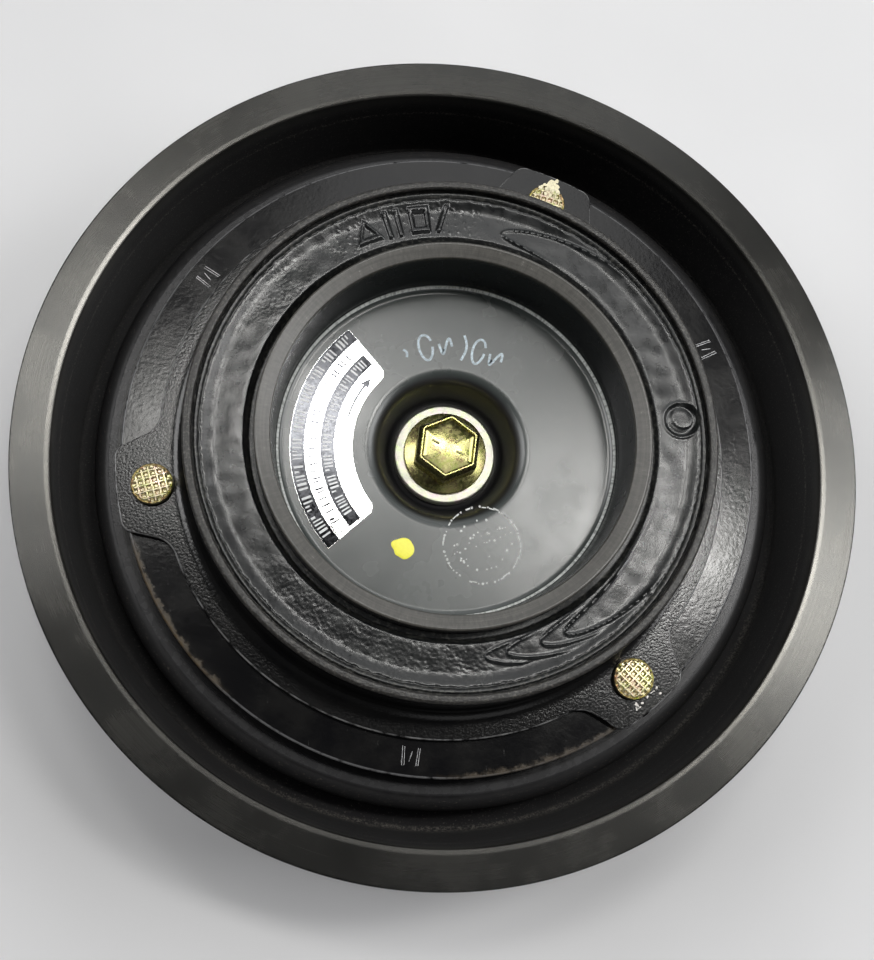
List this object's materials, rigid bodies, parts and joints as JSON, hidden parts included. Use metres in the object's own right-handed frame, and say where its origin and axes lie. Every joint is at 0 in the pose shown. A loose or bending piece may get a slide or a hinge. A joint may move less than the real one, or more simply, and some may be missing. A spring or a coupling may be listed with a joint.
{
  "type": "electromagnetic clutch",
  "caption": "Electromagnetic clutch with a multi-groove belt pulley, stator coil, double-row bearing, riveted armature and rubber-damped splined hub.",
  "frame": {"origin": "on the shaft axis, at the back face of the stator flange, where the clutch seats on the compressor", "axes": "+Z along the shaft axis from the compressor towards the hub; +X and +Y across the clutch, with the ears of the outer plate at -172, -52 and 68 degrees from +X"},
  "size_m": [0.155, 0.155, 0.0578],
  "materials": {
    "rim_black": "satin black coat over turned steel, fine concentric marks",
    "rotor_black": "satin black coat, dusty, rust on the friction edge",
    "flange_zinc": "dull zinc plate",
    "shell_black": "satin black coat",
    "bobbin_plastic": "moulded, matte",
    "copper_wire": "enamelled copper wire",
    "potting_resin": "dark cast resin",
    "grommet_rubber": "matte rubber",
    "spring_steel": "phosphated spring steel",
    "bearing_steel": "ground bearing steel",
    "ball_steel": "polished balls",
    "cage_nylon": "moulded nylon",
    "seal_rubber": "brown-black seal rubber",
    "hub_paint": "grey-green satin coat",
    "boss_steel": "machined steel",
    "shim_steel": "bright steel sheet",
    "bolt_zinc": "yellow zinc plate with an iridescent tint",
    "washer_steel": "bright plated steel",
    "label_foil": "silver foil sticker with dark bands",
    "damper_rubber": "moulded rubber, satin",
    "armature_black": "smooth satin black coat",
    "plate_black": "black coat with a fine orange-peel",
    "rivet_zinc": "yellow zinc plate, waffle-pressed"
  },
  "bodies": {
    "stator": {"stator_flange": "flange_zinc", "stator_shell": "shell_black", "coil_bobbin": "bobbin_plastic", "coil_winding": "copper_wire", "coil_resin": "potting_resin", "lead_grommet": "grommet_rubber", "coil_snap_ring": "spring_steel", "bearing_inner_ring": "bearing_steel", "nose_snap_ring": "spring_steel"},
    "pulley": {"pulley_rim": "rim_black", "rotor": "rotor_black", "bearing_outer_ring": "bearing_steel", "bearing_seal_front": "seal_rubber", "bearing_seal_rear": "seal_rubber"},
    "cage": {"bearing_balls": "ball_steel", "bearing_cage_front": "cage_nylon", "bearing_cage_rear": "cage_nylon"},
    "hub": {"hub_cup": "hub_paint", "hub_boss": "boss_steel", "hub_shims": "shim_steel", "hub_bolt": "bolt_zinc", "hub_washer": "washer_steel", "hub_label": "label_foil", "rubber_damper": "damper_rubber"},
    "armature": {"armature_plate": "armature_black", "outer_plate": "plate_black", "armature_rivets": "rivet_zinc"}
  },
  "joints": [
    {"name": "pulley_spin", "type": "hinge", "parent": "stator", "child": "pulley", "pos_m": [0, 0, 0.0167], "axis": [0, 0, 1], "continuous": true},
    {"name": "cage_spin", "type": "hinge", "parent": "stator", "child": "cage", "pos_m": [0, 0, 0.0167], "axis": [0, 0, 1], "continuous": true},
    {"name": "hub_spin", "type": "hinge", "parent": "stator", "child": "hub", "pos_m": [0, 0, 0.032], "axis": [0, 0, 1], "continuous": true},
    {"name": "armature_pull", "type": "slide", "parent": "hub", "child": "armature", "axis": [0, 0, -1], "range_m": [0, 0.00048], "stiffness_N_per_m": 40000, "deforming": ["rubber_damper"]}
  ],
  "couplings": [
    {"joint": "cage_spin", "follows": "pulley_spin", "ratio": 0.56225}
  ]
}
